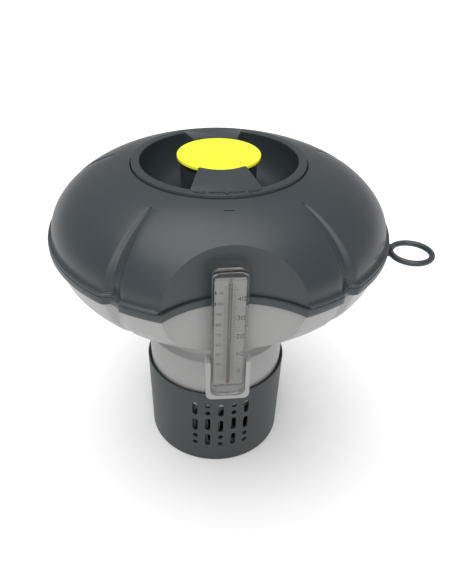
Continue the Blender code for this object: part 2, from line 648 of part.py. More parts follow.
def build():
    make_upper_shell()
    make_rim_band()
    make_lower_shell()
    make_neck()
    make_tablet_chamber()
    make_collar()
    make_basket()
    make_base_cap()
    make_seals()
    make_lid_body()
    make_lid_underplate()
    make_lid_screws()
    make_button()
    make_button_spring()
    make_thermometer()
    make_case_ends()
    make_bracket()
    make_tether_ring()


build()
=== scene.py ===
import math

import bmesh
import bpy
from mathutils import Matrix, Vector


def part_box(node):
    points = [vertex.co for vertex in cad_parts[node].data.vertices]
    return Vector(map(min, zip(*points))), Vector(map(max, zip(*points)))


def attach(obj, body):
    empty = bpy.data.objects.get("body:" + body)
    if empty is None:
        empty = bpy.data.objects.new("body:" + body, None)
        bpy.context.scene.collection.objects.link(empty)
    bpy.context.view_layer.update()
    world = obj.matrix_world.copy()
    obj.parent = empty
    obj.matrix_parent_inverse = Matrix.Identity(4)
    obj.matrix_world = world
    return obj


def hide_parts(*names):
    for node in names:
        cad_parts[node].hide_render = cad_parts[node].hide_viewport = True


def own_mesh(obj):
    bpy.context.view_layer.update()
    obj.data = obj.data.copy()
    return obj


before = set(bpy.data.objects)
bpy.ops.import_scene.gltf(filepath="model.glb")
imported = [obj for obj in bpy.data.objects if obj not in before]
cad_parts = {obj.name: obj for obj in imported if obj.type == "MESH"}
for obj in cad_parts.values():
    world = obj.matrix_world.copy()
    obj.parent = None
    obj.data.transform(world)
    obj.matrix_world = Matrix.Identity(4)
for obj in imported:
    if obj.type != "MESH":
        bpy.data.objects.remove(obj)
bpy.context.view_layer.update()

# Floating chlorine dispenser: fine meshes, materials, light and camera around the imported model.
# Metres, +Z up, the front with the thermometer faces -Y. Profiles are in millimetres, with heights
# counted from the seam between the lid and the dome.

MM = 0.001

# --- sizes taken from the frame -----------------------------------------------------------
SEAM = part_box("upper_shell")[1].z                    # height of the lid's seam with the dome
COLLAR_TOP_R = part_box("dosing_collar")[1].x / MM
COLLAR_FOOT_R = 45.0
COLLAR_TOP = (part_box("dosing_collar")[1].z - SEAM) / MM
BASE = -SEAM / MM
CAP_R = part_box("base_cap")[1].x / MM
BUTTON_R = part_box("button_cap")[1].x / MM
LID_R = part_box("lid_body")[1].x / MM
TUBE_LOW, TUBE_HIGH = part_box("thermometer_tube")
PLUG_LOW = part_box("thermometer_bottom_plug")[0]
PLUG_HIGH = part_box("thermometer_top_plug")[1]
BRACKET_LOW, BRACKET_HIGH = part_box("thermometer_bracket")
CARD_LOW, CARD_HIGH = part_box("scale_card")
RING_LOW, RING_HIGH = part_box("tether_ring")

# --- the float's shape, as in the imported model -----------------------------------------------
DOME_R, DOME_EDGE_DROP, DOME_CROWN = 97.05, 33.4, 3.0
DOME_POWER_R, DOME_POWER_Z = 3.093, 1.591
BOWL_R, BOWL_DROP, BOWL_DEPTH = 98.6, 34.8, 61.1
BOWL_POWER_R, BOWL_POWER_Z = 1.872, 2.254
BAND_R, BAND_TOP, BAND_BOTTOM = 99.7, -38.4, -42.5
WALL, GAP = 2.2, 0.3
GROOVES = (-37.0, 37.0, -108.5, 108.5, 180.0)
GROOVE_DEPTH, GROOVE_TIP_R, GROOVE_TIP_DEPTH, GROOVE_FADE = 3.0, 62.5, 1.2, 40.0
NARROWEST = 0.04                                     # a groove's width at its tip, as a share
SCOOP_R, SCOOP_Y = 52.6, -130.4
RING_AZ, RING_R, RING_CENTRE = 72.0, 11.3, 112.5     # tether ring: azimuth, radius, distance out
LUG_OUT = BAND_R + 0.4                               # band's lug that holds the ring
SLOT_PITCH, SLOT_W, BASKET_SLOT_W = 10.7, 3.5, 4.2   # degrees between columns, widths
SLOT_GROUPS = (0.0, 180.0)                           # front and back
BOWL_TOP, BOWL_FLOOR, NECK_BOTTOM = -40.2, -88.0, -150.0
BRIDGE_ENDS = ((21.0, 12.7, 4.8), (46.0, 19.1, 1.58))    # distance out, half width, top
BRACKET_SHOULDER = -74.6                             # top of the holster beside its tongue
SCALE_ZERO, SCALE_FORTY = -82.3, -36.4               # heights of 0 and 40 degrees on the scale
CASE_SHOULDER, CASE_SLOPE = 3.6, 2.2                 # sloping corners at the top of the case
CASE_CORNER, POCKET_CORNER, HOLSTER_CORNER = 4.0, 4.3, 3.6
FINE = 160                                           # facets round a turned piece


# --- materials --------------------------------------------------------------------------------
def node(tree, kind, **values):
    made = tree.nodes.new(kind)
    for key, value in values.items():
        if key in made.inputs:
            made.inputs[key].default_value = value
        else:
            setattr(made, key, value)
    return made


def moulded(name, colour, roughness, grain=0.35, tint=0.06, edge_highlight=0.25):
    """Moulded plastic: fine spark-eroded grain, slow flow marks in the colour, painted highlight on convex
    edges.
    """
    mat = bpy.data.materials.new(name)
    mat.use_nodes = True
    tree = mat.node_tree
    link = tree.links.new
    shader = tree.nodes["Principled BSDF"]
    coords = node(tree, "ShaderNodeTexCoord")
    flow = node(tree, "ShaderNodeTexNoise", Scale=22.0, Detail=3.0, Roughness=0.5)
    speck = node(tree, "ShaderNodeTexNoise", Scale=1500.0, Detail=2.0, Roughness=0.6)
    link(coords.outputs["Object"], flow.inputs["Vector"])
    link(coords.outputs["Object"], speck.inputs["Vector"])
    dark = tuple(c * (1 - tint) for c in colour) + (1.0,)
    light = tuple(min(1.0, c * (1 + tint)) for c in colour) + (1.0,)
    blend = node(tree, "ShaderNodeMix", data_type="RGBA")
    blend.inputs[6].default_value = dark
    blend.inputs[7].default_value = light
    mixer = node(tree, "ShaderNodeMath", operation="MULTIPLY_ADD")
    mixer.inputs[1].default_value = 0.35
    link(speck.outputs["Fac"], mixer.inputs[0])
    link(flow.outputs["Fac"], mixer.inputs[2])
    stretch = node(tree, "ShaderNodeMapRange")
    stretch.inputs["From Min"].default_value = 0.4
    stretch.inputs["From Max"].default_value = 0.95
    link(mixer.outputs[0], stretch.inputs["Value"])
    link(stretch.outputs[0], blend.inputs[0])
    # Painted highlight: convex edges, found by pointiness, are mixed towards a paler copy of the colour, as
    # if they caught the light.
    edge = node(tree, "ShaderNodeNewGeometry")
    edge_highlight_mask = node(tree, "ShaderNodeMapRange")
    edge_highlight_mask.inputs["From Min"].default_value = 0.53
    edge_highlight_mask.inputs["From Max"].default_value = 0.62
    edge_highlight_mask.inputs["To Max"].default_value = edge_highlight
    link(edge.outputs["Pointiness"], edge_highlight_mask.inputs["Value"])
    edge_highlight_mix = node(tree, "ShaderNodeMix", data_type="RGBA")
    # Paler copy of the colour for the painted edge highlight.
    edge_highlight_mix.inputs[7].default_value = tuple(min(1.0, c * 1.7 + 0.02) for c in colour) + (1.0,)
    link(edge_highlight_mask.outputs[0], edge_highlight_mix.inputs[0])
    link(blend.outputs[2], edge_highlight_mix.inputs[6])
    link(edge_highlight_mix.outputs[2], shader.inputs["Base Color"])
    rough = node(tree, "ShaderNodeMapRange")
    rough.inputs["To Min"].default_value = roughness - 0.05
    rough.inputs["To Max"].default_value = roughness + 0.07
    link(flow.outputs["Fac"], rough.inputs["Value"])
    link(rough.outputs[0], shader.inputs["Roughness"])
    bump = node(tree, "ShaderNodeBump", Strength=grain, Distance=0.00004)
    link(speck.outputs["Fac"], bump.inputs["Height"])
    link(bump.outputs[0], shader.inputs["Normal"])
    return mat


def clear(name, colour, roughness, ior):
    """Clear plastic or glass with a faint haze and fine rub marks."""
    mat = bpy.data.materials.new(name)
    mat.use_nodes = True
    tree = mat.node_tree
    link = tree.links.new
    shader = tree.nodes["Principled BSDF"]
    shader.inputs["Base Color"].default_value = (*colour, 1.0)
    shader.inputs["Transmission Weight"].default_value = 1.0
    shader.inputs["IOR"].default_value = ior
    coords = node(tree, "ShaderNodeTexCoord")
    haze = node(tree, "ShaderNodeTexNoise", Scale=90.0, Detail=4.0, Roughness=0.6)
    link(coords.outputs["Object"], haze.inputs["Vector"])
    rough = node(tree, "ShaderNodeMapRange")
    rough.inputs["To Min"].default_value = roughness * 0.6
    rough.inputs["To Max"].default_value = roughness * 1.5
    link(haze.outputs["Fac"], rough.inputs["Value"])
    link(rough.outputs[0], shader.inputs["Roughness"])
    bump = node(tree, "ShaderNodeBump", Strength=0.15, Distance=0.0001)
    link(haze.outputs["Fac"], bump.inputs["Height"])
    link(bump.outputs[0], shader.inputs["Normal"])
    return mat


def drawn_steel(name):
    """Stainless steel with fine drawing lines."""
    mat = bpy.data.materials.new(name)
    mat.use_nodes = True
    tree = mat.node_tree
    link = tree.links.new
    shader = tree.nodes["Principled BSDF"]
    shader.inputs["Metallic"].default_value = 1.0
    coords = node(tree, "ShaderNodeTexCoord")
    squeeze = node(tree, "ShaderNodeMapping")
    squeeze.inputs["Scale"].default_value = (3000.0, 3000.0, 150.0)
    lines = node(tree, "ShaderNodeTexNoise", Scale=1.0, Detail=3.0)
    link(coords.outputs["Object"], squeeze.inputs["Vector"])
    link(squeeze.outputs[0], lines.inputs["Vector"])
    tone = node(tree, "ShaderNodeMix", data_type="RGBA")
    tone.inputs[6].default_value = (0.42, 0.42, 0.43, 1.0)
    tone.inputs[7].default_value = (0.66, 0.66, 0.66, 1.0)
    link(lines.outputs["Fac"], tone.inputs[0])
    link(tone.outputs[2], shader.inputs["Base Color"])
    rough = node(tree, "ShaderNodeMapRange")
    rough.inputs["To Min"].default_value = 0.18
    rough.inputs["To Max"].default_value = 0.42
    link(lines.outputs["Fac"], rough.inputs["Value"])
    link(rough.outputs[0], shader.inputs["Roughness"])
    return mat


ANTHRACITE = moulded("anthracite_plastic", (0.026, 0.034, 0.040), 0.39)
COLLAR_DARK = moulded("dark_collar_plastic", (0.025, 0.032, 0.036), 0.48)
LID_DARK = moulded("lid_plastic", (0.025, 0.033, 0.038), 0.44)
GREY = moulded("light_grey_plastic", (0.275, 0.275, 0.272), 0.34, 0.2, 0.03, 0.1)
YELLOW = moulded("yellow_plastic", (1.0, 0.98, 0.025), 0.45, 0.2, 0.02, 0.0)
# Near-black colour for the raised lid marks: painted shade for the shadow line of a step.
PAINTED_SHADE_MARKS = moulded("painted_shade_line", (0.010, 0.013, 0.015), 0.6, 0.3, 0.1, 0.0)
RUBBER = moulded("seal_rubber", (0.018, 0.018, 0.018), 0.7, 0.5, 0.1, 0.05)
STEEL = drawn_steel("stainless_steel")
CLEAR = clear("clear_plastic", (0.95, 0.95, 0.945), 0.11, 1.42)
GLASS = clear("thermometer_glass", (0.85, 0.85, 0.84), 0.10, 1.38)
CARD = moulded("scale_card_plastic", (0.62, 0.615, 0.60), 0.5, 0.2, 0.06, 0.0)
INK = moulded("printing_ink", (0.14, 0.14, 0.135), 0.6, 0.3, 0.1, 0.0)
LIQUID = moulded("red_liquid", (0.38, 0.08, 0.07), 0.2, 0.05, 0.03, 0.0)


# --- mesh tools -------------------------------------------------------------------------------
def polar(radius, degrees, height=0.0):
    """Point in metres from mm and an angle counted from the front towards +X."""
    a = math.radians(degrees)
    return Vector((radius * math.sin(a) * MM, -radius * math.cos(a) * MM, SEAM + height * MM))


def rounded(points, radius, steps=3):
    """Closed outline with an arc at every corner that turns by more than about 15 degrees."""
    out = []
    count = len(points)
    for i, here in enumerate(points):
        here = Vector(here)
        to_last = Vector(points[i - 1]) - here
        to_next = Vector(points[(i + 1) % count]) - here
        turn = math.pi - to_last.angle(to_next)
        if turn < 0.26 or here.x < 0.01:
            out.append(tuple(here))
            continue
        reach = min(radius * math.tan(turn / 2), 0.4 * to_last.length, 0.4 * to_next.length)
        a = here + to_last.normalized() * reach
        b = here + to_next.normalized() * reach
        for k in range(steps + 1):
            t = k / steps
            out.append(tuple(a * (1 - t) ** 2 + here * 2 * t * (1 - t) + b * t ** 2))
    return out


def clean(obj, angle=32.0):
    """Welds, points faces outwards and shades smooth up to an angle."""
    bm = bmesh.new()
    bm.from_mesh(obj.data)
    bmesh.ops.remove_doubles(bm, verts=bm.verts, dist=0.000004)
    bmesh.ops.dissolve_degenerate(bm, edges=bm.edges, dist=0.000004)
    bmesh.ops.recalc_face_normals(bm, faces=bm.faces)
    bm.to_mesh(obj.data)
    bm.free()
    obj.data.shade_smooth()
    obj.data.set_sharp_from_angle(angle=math.radians(angle))
    return obj


def object_from(bm, name):
    mesh = bpy.data.meshes.new(name)
    bm.to_mesh(mesh)
    bm.free()
    obj = bpy.data.objects.new(name, mesh)
    bpy.context.scene.collection.objects.link(obj)
    return obj


def apply_modifiers(obj):
    bpy.context.view_layer.update()
    graph = bpy.context.evaluated_depsgraph_get()
    mesh = bpy.data.meshes.new_from_object(obj.evaluated_get(graph))
    obj.modifiers.clear()
    old = obj.data
    obj.data = mesh
    if isinstance(old, bpy.types.Mesh):
        bpy.data.meshes.remove(old)
    return obj


def mesh_of(curve):
    """Mesh of a curve or a text."""
    holder = bpy.data.objects.new("holder", curve)
    bpy.context.scene.collection.objects.link(holder)
    bpy.context.view_layer.update()
    graph = bpy.context.evaluated_depsgraph_get()
    mesh = bpy.data.meshes.new_from_object(holder.evaluated_get(graph))
    bpy.data.objects.remove(holder, do_unlink=True)
    return mesh


def combine(obj, other, operation="DIFFERENCE"):
    modifier = obj.modifiers.new("cut", "BOOLEAN")
    modifier.operation = operation
    modifier.solver = "EXACT"
    modifier.object = other
    apply_modifiers(obj)
    bpy.data.objects.remove(other, do_unlink=True)
    return clean(obj)


def soften(obj, width=0.3, angle=40.0, segments=2):
    """Small rounding on the sharp edges that are left."""
    modifier = obj.modifiers.new("soften", "BEVEL")
    modifier.width = width * MM
    modifier.segments = segments
    modifier.limit_method = "ANGLE"
    modifier.angle_limit = math.radians(angle)
    modifier.use_clamp_overlap = True
    modifier.harden_normals = False
    apply_modifiers(obj)
    return clean(obj, 38.0)


def turned(name, profile, centre=(0.0, 0.0), facets=FINE):
    """Turned solid from a closed profile in mm."""
    bm = bmesh.new()
    rings = []
    for r, z in profile:
        if r < 0.001:
            rings.append([bm.verts.new((centre[0], centre[1], SEAM + z * MM))])
            continue
        ring = []
        for k in range(facets):
            at = polar(r, 360.0 * k / facets, z)
            ring.append(bm.verts.new((at.x + centre[0], at.y + centre[1], at.z)))
        rings.append(ring)
    for a, b in zip(rings, rings[1:] + rings[:1]):
        for k in range(facets):
            corners = {a[k % len(a)]: None, a[(k + 1) % len(a)]: None,
                       b[(k + 1) % len(b)]: None, b[k % len(b)]: None}
            if len(corners) > 2:
                bm.faces.new(list(corners))
    return clean(object_from(bm, name))


def prism(name, outline, low, high):
    """Upright prism over an outline of (x, y) in metres, between two heights in metres."""
    bm = bmesh.new()
    bottom = [bm.verts.new((x, y, low)) for x, y in outline]
    top = [bm.verts.new((x, y, high)) for x, y in outline]
    count = len(outline)
    bm.faces.new(list(reversed(bottom)))
    bm.faces.new(top)
    for i in range(count):
        j = (i + 1) % count
        bm.faces.new((bottom[i], bottom[j], top[j], top[i]))
    return clean(object_from(bm, name))


def rod(name, radius, low, high, centre=(0.0, 0.0), facets=FINE):
    outline = []
    for k in range(facets):
        a = 2 * math.pi * k / facets
        outline.append((centre[0] + radius * MM * math.cos(a), centre[1] + radius * MM * math.sin(a)))
    return prism(name, outline, SEAM + low * MM, SEAM + high * MM)


def rounded_rectangle(width, depth, radius, centre=(0.0, 0.0), steps=8):
    """Outline in metres."""
    points = []
    for corner, (sx, sy) in enumerate(((1, 1), (-1, 1), (-1, -1), (1, -1))):
        for i in range(steps + 1):
            a = math.radians(90 * (corner + i / steps))
            x = sx * (width / 2 - radius) + radius * math.cos(a)
            y = sy * (depth / 2 - radius) + radius * math.sin(a)
            points.append((x + centre[0], y + centre[1]))
    return points


def bar(name, start, end, width, height):
    """Thin rounded bar between two points, for raised marks."""
    along = end - start
    side = Vector((-along.y, along.x, 0)).normalized() * width / 2
    up = Vector((0, 0, height))
    bm = bmesh.new()
    corners = [start - side, start + side, end + side, end - side]
    low = [bm.verts.new(c - up) for c in corners]
    high = [bm.verts.new(c + up) for c in corners]
    bm.faces.new(low)
    bm.faces.new(high)
    for i in range(4):
        j = (i + 1) % 4
        bm.faces.new((low[i], low[j], high[j], high[i]))
    return clean(object_from(bm, name))


def place(obj, body, mat, slot, *nodes):
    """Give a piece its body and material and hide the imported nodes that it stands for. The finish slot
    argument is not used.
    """
    obj.data.materials.clear()
    obj.data.materials.append(mat)
    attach(obj, body)
    if nodes:
        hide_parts(*nodes)
    return obj


# --- float ----------------------------------------------------------------------------------
def groove_shape(radius, height):
    """Depth of a groove and its share of the full width."""
    if height < BAND_TOP:
        fade = 1 - (BAND_BOTTOM - height) / GROOVE_FADE
        return GROOVE_DEPTH * min(1.0, max(0.0, fade)), 1.0
    share = (radius - GROOVE_TIP_R) / (DOME_R - GROOVE_TIP_R)
    if share <= 0:
        return 0.0, NARROWEST
    share = min(1.0, share)
    return GROOVE_TIP_DEPTH + (GROOVE_DEPTH - GROOVE_TIP_DEPTH) * share, max(NARROWEST, share ** 0.55)


def float_angles():
    """(groove's angle, distance from its middle, how far it is pressed in) round the float."""
    samples = [(-3.5, 0.0), (-3.35, 0.03), (-3.15, 0.12), (-2.9, 0.27), (-2.6, 0.42), (-2.1, 0.58),
               (-1.5, 0.72), (-0.9, 0.82), (-0.3, 0.9), (0.2, 0.95), (0.45, 0.98), (0.65, 1.0), (0.9, 0.97),
               (1.2, 0.86), (1.6, 0.66), (2.1, 0.42), (2.5, 0.24), (2.8, 0.12), (3.1, 0.04), (3.4, 0.0)]
    marks = []
    grooves = sorted(GROOVES)
    for i, angle in enumerate(grooves):
        away = 1.0 if angle > 0 else -1.0
        marks += sorted((angle, offset * away, press) for offset, press in samples)
        following = grooves[(i + 1) % len(grooves)] + (360 if i == len(grooves) - 1 else 0)
        first, last = angle + 5.0, following - 5.0
        count = round((last - first) / 1.6)
        marks += [(first + (last - first) * k / count, 0.0, 0.0) for k in range(count + 1)]
    return marks


FLOAT_ANGLES = float_angles()


def lobed(name, loop):
    """Closed ring round the axis; loop holds (radius, height, groove depth, narrowing) in mm."""
    bm = bmesh.new()
    columns = []
    for angle, offset, press in FLOAT_ANGLES:
        column = [bm.verts.new(polar(r - press * depth, angle + offset * width, z))
                  for r, z, depth, width in loop]
        columns.append(column)
    count = len(loop)
    for a, b in zip(columns, columns[1:] + columns[:1]):
        for i in range(count):
            j = (i + 1) % count
            bm.faces.new((a[i], b[i], b[j], a[j]))
    return clean(object_from(bm, name))


def with_groove(points):
    return [(radius, height, *groove_shape(radius, height)) for radius, height in points]


def plain(points):
    return [(radius, height, 0.0, NARROWEST) for radius, height in points]


def dome_point(turn, inset=0.0):
    a = turn * math.pi / 2
    radius = (DOME_R - inset) * math.cos(a) ** (2 / DOME_POWER_R)
    rise = DOME_EDGE_DROP + DOME_CROWN - inset
    return radius, -DOME_EDGE_DROP + rise * math.sin(a) ** (2 / DOME_POWER_Z)


def bowl_point(turn, inset=0.0):
    a = turn * math.pi / 2
    radius = (BOWL_R - inset) * math.cos(a) ** (2 / BOWL_POWER_R)
    return radius, -BOWL_DROP - (BOWL_DEPTH - inset) * math.sin(a) ** (2 / BOWL_POWER_Z)


def scoop(radius):
    return rod("scoop", radius, -130, 20, (0.0, SCOOP_Y * MM), 512)


def upper_shell():
    low = BAND_TOP + 0.06
    flange = [(99.3, low), (99.35, low + 0.1), (99.35, -37.2), (99.27, -36.95), (99.05, -36.8),
              (97.6, -36.55), (97.25, -36.2), (97.1, -35.6)]
    curve = [dome_point(0.74 * k / 40) for k in range(41)]
    curve = [p for p in curve if abs(p[0] - GROOVE_TIP_R) > 0.8]
    tip = next(i for i, p in enumerate(curve) if p[0] < GROOVE_TIP_R)
    turn = math.acos((GROOVE_TIP_R / DOME_R) ** (DOME_POWER_R / 2)) / (math.pi / 2)
    curve[tip:tip] = [dome_point(turn - 0.002), dome_point(turn + 0.002)]
    mouth = [(50.25, -0.02), (50.05, -0.12), (50.0, -0.35)]
    outer = with_groove(flange + curve)
    hole = plain(mouth + [(50.0, -9.3), (47.5, -9.3), (47.5, low)])
    shell = combine(lobed("dome_shell", outer + hole), scoop(SCOOP_R))
    under = [dome_point(0.72 * k / 20, WALL) for k in range(21)]
    cavity = with_groove([(DOME_R - WALL, -60)] + under)
    skirt = plain([(52.4, -3.5), (52.4, -14), (40, -14), (40, -60)])
    shell = combine(shell, combine(lobed("hollow", cavity + skirt), scoop(SCOOP_R + WALL)))
    for azimuth, reach, drop in ((0.0, 58.6, 1.62), (180.0, 56.6, 1.25)):
        cut = bar("mark", polar(reach, azimuth - 2.6, -drop), polar(reach, azimuth + 2.6, -drop),
                  0.55 * MM, 0.9 * MM)
        shell = combine(shell, cut)
    place(shell, "float", ANTHRACITE, "anthracite_plastic", "upper_shell")


def scooped_ring(name, profile, inner, proud, wall):
    """Ring that follows the lobes and the scoop; profile is its outer side, top to bottom."""
    top, bottom = profile[0][1], profile[-1][1]
    deep = [(r, z, GROOVE_DEPTH, 1.0) for r, z in profile]
    shell = lobed(name, deep + [(44, bottom, 0, 1.0), (44, top, 0, 1.0)])
    face = [(SCOOP_R - proud + 0.35, top + 3), (SCOOP_R - proud + 0.35, top),
            (SCOOP_R - proud + 0.1, top - 0.1), (SCOOP_R - proud, top - 0.35),
            (SCOOP_R - proud, bottom + 0.35), (SCOOP_R - proud + 0.1, bottom + 0.1),
            (SCOOP_R - proud + 0.35, bottom), (SCOOP_R - proud + 0.35, bottom - 3),
            (0.0, bottom - 3), (0.0, top + 3)]
    shell = combine(shell, turned("scoop", face, (0.0, SCOOP_Y * MM), 512))
    hollow = [(inner, top + 5, GROOVE_DEPTH, 1.0), (inner, bottom - 5, GROOVE_DEPTH, 1.0),
              (39, bottom - 5, 0, 1.0), (39, top + 5, 0, 1.0)]
    hollow = combine(lobed("hollow", hollow), scoop(SCOOP_R - proud + wall))
    return combine(shell, hollow)


def rim_band():
    side = [(BAND_R - 0.3, BAND_TOP + 0.05), (BAND_R - 0.09, BAND_TOP - 0.04), (BAND_R, BAND_TOP - 0.25),
            (BAND_R, BAND_BOTTOM + 0.5), (BAND_R - 0.15, BAND_BOTTOM + 0.15), (BAND_R - 0.5, BAND_BOTTOM)]
    band = scooped_ring("clamp_band", side, 96.4, 1.8, 1.5)
    outline = rounded_rectangle(3.2 * MM, 4.0 * MM, 0.6 * MM)
    lug = prism("lug", outline, SEAM - 47.5 * MM, SEAM - 41.0 * MM)
    lug.data.transform(Matrix.Translation((0, -LUG_OUT * MM, 0)))
    lug.data.transform(Matrix.Rotation(math.radians(RING_AZ), 4, "Z"))
    band = combine(band, lug, "UNION")
    place(band, "float", ANTHRACITE, "anthracite_plastic", "rim_band")


def lower_shell():
    outer = [(96.0, BOWL_TOP), (96.0, BAND_BOTTOM - GAP), (97.3, BAND_BOTTOM - GAP), (97.7, -43.3)]
    outer += [bowl_point(0.2 + 0.58 * k / 36) for k in range(37)]
    neck = [(43.0, -90.5), (41.6, -91.6), (40.9, -94.0), (40.9, -109.3), (41.2, -109.8),
            (43.7, -112.2), (44.2, -112.7), (44.4, -113.5), (43.9, NECK_BOTTOM)]
    bore = plain([(39.4, NECK_BOTTOM), (39.4, BOWL_TOP)])
    shell = lobed("bowl_shell", with_groove(outer) + plain(neck) + bore)
    shell = combine(shell, scoop(SCOOP_R))
    inside = [bowl_point(0.7 - 0.5 * k / 18, WALL) for k in range(19)]
    rim = [(93.8, BAND_BOTTOM - 1), (93.8, -20)]
    cavity = plain([(44, BOWL_FLOOR)]) + with_groove(inside + rim) + plain([(35, -20), (35, BOWL_FLOOR)])
    shell = combine(shell, combine(lobed("hollow", cavity), scoop(SCOOP_R + WALL)))
    shell = combine(shell, rod("bore", 41.2, NECK_BOTTOM - 5, -112))
    place(shell, "float", GREY, "light_grey_plastic", "lower_shell", "neck_tube")


# --- chamber, basket, collar ------------------------------------------------------------------
def slot_shape(degrees, radius, height, width, tall):
    """Upright slot with round ends, cut through a wall at a radius."""
    outline = rounded_rectangle(width * MM, tall * MM, width / 2 * MM * 0.999, steps=6)
    slot = prism("slot", outline, (radius - 4) * MM, (radius + 4) * MM)
    slot.data.transform(Matrix.Rotation(math.radians(90), 4, "X"))
    slot.data.transform(Matrix.Translation((0, 0, SEAM + height * MM)))
    slot.data.transform(Matrix.Rotation(math.radians(degrees), 4, "Z"))
    return slot


def join(pieces):
    """One object from several that don't touch."""
    bm = bmesh.new()
    for piece in pieces:
        bm.from_mesh(piece.data)
        bpy.data.objects.remove(piece, do_unlink=True)
    return object_from(bm, "group")


def dosing_collar():
    profile = rounded([(COLLAR_TOP_R, COLLAR_TOP), (COLLAR_FOOT_R, BASE), (COLLAR_FOOT_R - 1.5, BASE),
                       (COLLAR_TOP_R - 1.5, COLLAR_TOP)], 0.5)
    collar = turned("slotted_collar", profile)
    even_rows = [(-151.7, 11.0), (-166.5, 11.0), (-177.0, 3.6), (-183.5, 3.6)]
    odd_rows = [(-148.0, 3.6), (-154.5, 3.6), (-164.9, 11.0), (-179.7, 11.0)]
    cutters = []
    for group in SLOT_GROUPS:
        for column in range(-2, 3):
            azimuth = group + column * SLOT_PITCH
            for height, tall in (odd_rows if column % 2 else even_rows):
                cutters.append(slot_shape(azimuth, 44.2, height, SLOT_W, tall))
    collar = combine(collar, join(cutters))
    place(collar, "collar", COLLAR_DARK, "dark_collar_plastic", "dosing_collar")


def slotted_basket():
    profile = rounded([(43.2, -150.3), (43.2, -194.6), (41.2, -194.6), (41.2, -152.0), (39.4, -150.3),
                       (39.4, -142.0), (40.9, -142.0), (40.9, -150.3)], 0.3)
    basket = turned("inner_basket", profile)
    cutters = []
    for group in SLOT_GROUPS:
        for column in range(-2, 3):
            azimuth = group + column * SLOT_PITCH + 2.4
            cutters.append(slot_shape(azimuth, 42.2, -168.5, BASKET_SLOT_W, 30.0))
    basket = combine(basket, join(cutters))
    place(basket, "float", COLLAR_DARK, "dark_collar_plastic", "slotted_basket")


def base_cap():
    profile = rounded([
        (CAP_R, BASE), (0.0, BASE), (0.0, BASE + 2.2), (39.4, BASE + 2.2),
        (39.4, BASE + 7.6), (40.9, BASE + 7.6), (40.9, BASE + 4.7), (CAP_R, BASE + 4.7)], 0.5)
    cap = turned("floor_cap", profile)
    cutters = []
    for k in range(6):
        outline = rounded_rectangle(5 * MM, 20 * MM, 2.4 * MM, (0.0, -27 * MM))
        slot = prism("slot", outline, -5 * MM, 8 * MM)
        slot.data.transform(Matrix.Rotation(math.radians(60 * k + 30), 4, "Z"))
        cutters.append(slot)
    cap = combine(cap, join(cutters))
    place(cap, "float", COLLAR_DARK, "dark_collar_plastic", "base_cap")


def tablet_chamber():
    foot = BOWL_FLOOR + 2.1
    profile = rounded([
        (49.6, -7.0), (49.6, -9.0), (47.1, -9.0), (47.1, -30.5), (41.2, -38.0), (41.2, foot),
        (39.6, foot), (39.6, -37.0), (45.6, -29.8), (45.6, -7.0)], 0.5)
    tube = turned("chamber_tube", profile)
    for k in range(3):
        middle = 120.0 * k - 40.0
        angles = [middle - 16 + 32 * i / 24 for i in range(25)]
        outline = [tuple(polar(46.4, a)[:2]) for a in angles]
        outline += [tuple(polar(43.6, a)[:2]) for a in reversed(angles)]
        ledge = prism("ledge", outline, SEAM - 21.5 * MM, SEAM - 19.5 * MM)
        tube = combine(tube, ledge, "UNION")
    place(tube, "float", GREY, "light_grey_plastic", "tablet_chamber")


def seals():
    lid_seal = turned("lid_gasket", rounded([(49.3, -5.4), (49.3, -6.7), (46.9, -6.7), (46.9, -5.4)], 0.5))
    place(lid_seal, "lid_carrier", RUBBER, "seal_rubber", "lid_seal")
    low, high = BOWL_FLOOR + 0.3, BOWL_FLOOR + 1.8
    foot = turned("chamber_gasket", rounded([(41.2, high), (41.2, low), (39.7, low), (39.7, high)], 0.5))
    place(foot, "float", RUBBER, "seal_rubber", "chamber_seal")


# --- lid ----------------------------------------------------------------------------------------
def lid_marks():
    """Raised pointer and the line beside it, with a plain mark for each end of the turn."""
    pieces = []
    z = 1.68

    def stroke(x0, r0, x1, r1, width=0.45):
        start = Vector((x0 * MM, -r0 * MM, SEAM + z * MM))
        end = Vector((x1 * MM, -r1 * MM, SEAM + z * MM))
        pieces.append(bar("mark", start, end, width * MM, 0.17 * MM))

    stroke(-2.3, 45.1, 0.1, 48.3)
    stroke(2.3, 45.1, -0.1, 48.3)
    stroke(-9.0, 45.6, -2.9, 46.1)
    stroke(2.9, 46.1, 9.0, 45.6)
    for side in (-1, 1):
        stroke(side * 11.0, 44.6, side * 16.0, 43.0)
        stroke(side * 11.2, 46.6, side * 16.4, 44.9)
        stroke(side * 11.0, 44.6, side * 11.6, 46.6)
        stroke(side * 15.8, 43.0, side * 16.4, 44.9)
    return join(pieces)


